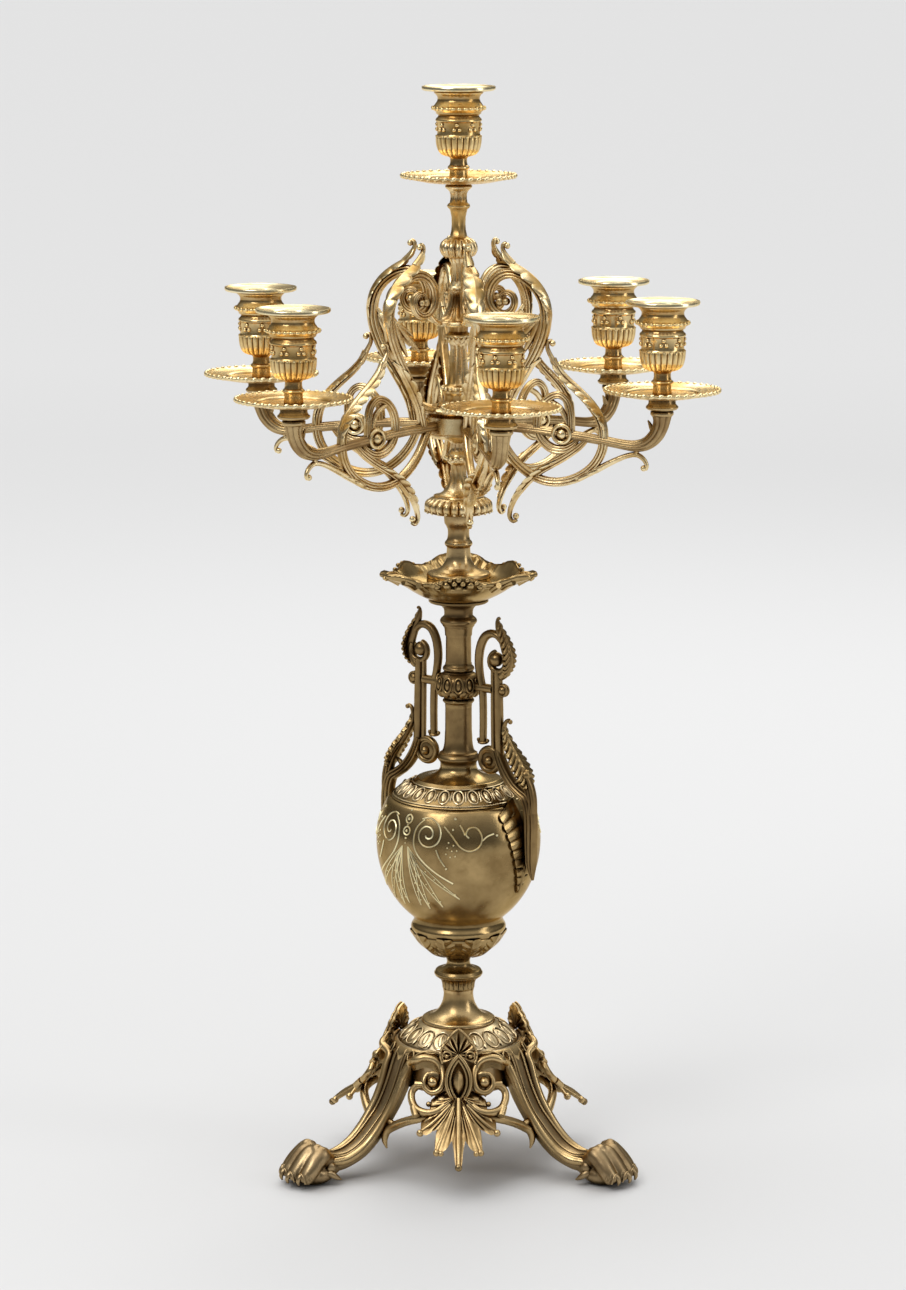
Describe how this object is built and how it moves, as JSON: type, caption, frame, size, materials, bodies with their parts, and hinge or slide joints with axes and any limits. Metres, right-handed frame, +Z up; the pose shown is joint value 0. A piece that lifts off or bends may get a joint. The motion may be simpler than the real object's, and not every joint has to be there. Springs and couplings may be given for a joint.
{
  "type": "candelabrum",
  "caption": "Table candelabrum of cast and turned brass: scroll arms and a centre light over a globe urn on a tripod foot with lion paws.",
  "frame": {"origin": "on the table, under the middle of the object, on the axis of the column", "axes": "+Z up along the column, -Y towards the front palmette, +X to the right"},
  "size_m": [0.3152, 0.3244, 0.67],
  "materials": {
    "bright_gilt": "bright gilt brass with warm recesses",
    "arm_gilt": "satin gilt brass, darker in the recesses",
    "stand_brass": "aged cast brass with brown recesses",
    "old_brass": "polished brass gone dark and blotched with age",
    "iron": "dull iron"
  },
  "bodies": {
    "stand": {"base_leg_1": "stand_brass", "base_leg_2": "stand_brass", "base_leg_3": "stand_brass", "base_palmette_1": "stand_brass", "base_palmette_2": "stand_brass", "base_palmette_3": "stand_brass", "base_dome": "stand_brass", "fasteners": "iron", "tie_rod": "iron", "foot_trumpet": "stand_brass", "lower_knop": "old_brass", "urn_cup": "old_brass", "urn_body": "old_brass", "urn_shoulder": "old_brass", "column_lower": "old_brass", "column_knop": "old_brass", "column_upper": "old_brass", "handle_left": "old_brass", "handle_right": "old_brass", "drip_dish": "old_brass"},
    "branch": {"branch_stem": "stand_brass", "branch_rod": "iron", "gadroon_collar": "arm_gilt", "arm_hub": "arm_gilt", "arm_1": "arm_gilt", "arm_2": "arm_gilt", "arm_3": "arm_gilt", "arm_4": "arm_gilt", "arm_5": "arm_gilt", "arm_6": "arm_gilt", "scroll_1": "arm_gilt", "scroll_2": "arm_gilt", "scroll_3": "arm_gilt", "scroll_4": "arm_gilt", "scroll_5": "arm_gilt", "scroll_6": "arm_gilt", "upper_column": "arm_gilt", "fluted_bell": "arm_gilt", "finial_stem": "arm_gilt", "pan_1": "arm_gilt", "pan_2": "arm_gilt", "pan_3": "arm_gilt", "pan_4": "arm_gilt", "pan_5": "arm_gilt", "pan_6": "arm_gilt", "pan_7": "arm_gilt"},
    "nozzle_1": {"nozzle_1": "bright_gilt"},
    "liner_1": {"liner_1": "bright_gilt"},
    "nozzle_2": {"nozzle_2": "bright_gilt"},
    "liner_2": {"liner_2": "bright_gilt"},
    "nozzle_3": {"nozzle_3": "bright_gilt"},
    "liner_3": {"liner_3": "bright_gilt"},
    "nozzle_4": {"nozzle_4": "bright_gilt"},
    "liner_4": {"liner_4": "bright_gilt"},
    "nozzle_5": {"nozzle_5": "bright_gilt"},
    "liner_5": {"liner_5": "bright_gilt"},
    "nozzle_6": {"nozzle_6": "bright_gilt"},
    "liner_6": {"liner_6": "bright_gilt"},
    "nozzle_7": {"nozzle_7": "bright_gilt"},
    "liner_7": {"liner_7": "bright_gilt"}
  },
  "joints": [
    {"name": "branch_turn", "type": "hinge", "parent": "stand", "child": "branch", "pos_m": [0, 0, 0.381], "axis": [0, 0, 1], "continuous": true},
    {"name": "nozzle_1_turn", "type": "hinge", "parent": "branch", "child": "nozzle_1", "pos_m": [0.02461, -0.12663, 0.495], "axis": [0, 0, 1], "continuous": true},
    {"name": "liner_1_lift", "type": "slide", "parent": "nozzle_1", "child": "liner_1", "axis": [0, 0, 1], "range_m": [0, 0.03]},
    {"name": "nozzle_2_turn", "type": "hinge", "parent": "branch", "child": "nozzle_2", "pos_m": [0.12197, -0.042, 0.495], "axis": [0, 0, 1], "continuous": true},
    {"name": "liner_2_lift", "type": "slide", "parent": "nozzle_2", "child": "liner_2", "axis": [0, 0, 1], "range_m": [0, 0.03]},
    {"name": "nozzle_3_turn", "type": "hinge", "parent": "branch", "child": "nozzle_3", "pos_m": [0.09736, 0.08463, 0.495], "axis": [0, 0, 1], "continuous": true},
    {"name": "liner_3_lift", "type": "slide", "parent": "nozzle_3", "child": "liner_3", "axis": [0, 0, 1], "range_m": [0, 0.03]},
    {"name": "nozzle_4_turn", "type": "hinge", "parent": "branch", "child": "nozzle_4", "pos_m": [-0.02461, 0.12663, 0.495], "axis": [0, 0, 1], "continuous": true},
    {"name": "liner_4_lift", "type": "slide", "parent": "nozzle_4", "child": "liner_4", "axis": [0, 0, 1], "range_m": [0, 0.03]},
    {"name": "nozzle_5_turn", "type": "hinge", "parent": "branch", "child": "nozzle_5", "pos_m": [-0.12197, 0.042, 0.495], "axis": [0, 0, 1], "continuous": true},
    {"name": "liner_5_lift", "type": "slide", "parent": "nozzle_5", "child": "liner_5", "axis": [0, 0, 1], "range_m": [0, 0.03]},
    {"name": "nozzle_6_turn", "type": "hinge", "parent": "branch", "child": "nozzle_6", "pos_m": [-0.09736, -0.08463, 0.495], "axis": [0, 0, 1], "continuous": true},
    {"name": "liner_6_lift", "type": "slide", "parent": "nozzle_6", "child": "liner_6", "axis": [0, 0, 1], "range_m": [0, 0.03]},
    {"name": "nozzle_7_turn", "type": "hinge", "parent": "branch", "child": "nozzle_7", "pos_m": [0, 0, 0.62], "axis": [0, 0, 1], "continuous": true},
    {"name": "liner_7_lift", "type": "slide", "parent": "nozzle_7", "child": "liner_7", "axis": [0, 0, 1], "range_m": [0, 0.03]}
  ]
}
